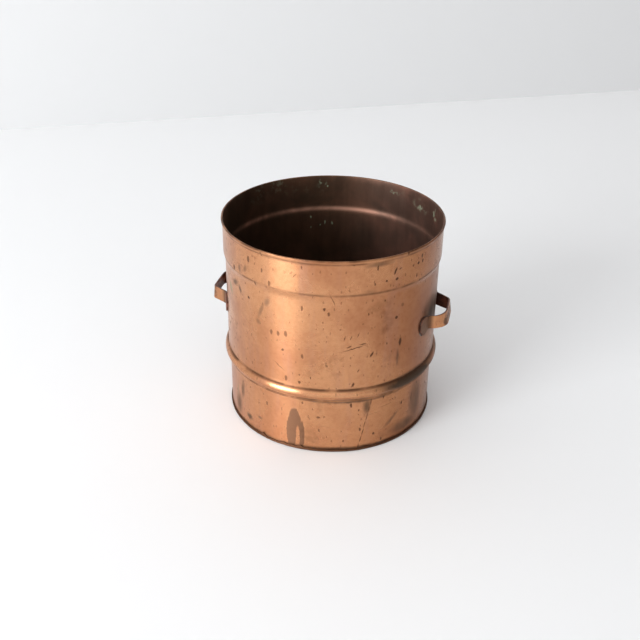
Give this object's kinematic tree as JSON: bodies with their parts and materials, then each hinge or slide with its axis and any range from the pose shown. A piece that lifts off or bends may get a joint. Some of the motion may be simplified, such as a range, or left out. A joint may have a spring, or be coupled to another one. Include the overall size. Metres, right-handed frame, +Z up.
{
  "type": "open metal pot",
  "caption": "Open cylindrical copper pot with a stepped rim collar, a raised bead above the lower band and fixed strap handles at the sides.",
  "frame": {"origin": "centre of the underside of the base disc", "axes": "+Z up along the pot's axis, the two handles on the X axis, handle_right at +X"},
  "size_m": [0.312, 0.284, 0.27],
  "materials": {
    "wall_copper": "aged satin copper sheet, brown tarnish in the creases, small dark pits and a few verdigris spots",
    "base_copper": "aged copper sheet, dark tarnish at the turned-up edge, scuffed underside",
    "handle_copper": "aged satin copper strap, rubbed on the grip, dark on the inside",
    "solder": "dull grey-brown soft solder"
  },
  "bodies": {
    "root": {"upper_wall": "wall_copper", "lower_wall": "wall_copper", "base_disc": "base_copper", "handle_right": "handle_copper", "handle_left": "handle_copper", "wall_joint_solder": "solder", "base_joint_solder": "solder", "handle_right_solder": "solder", "handle_left_solder": "solder"}
  },
  "joints": []
}
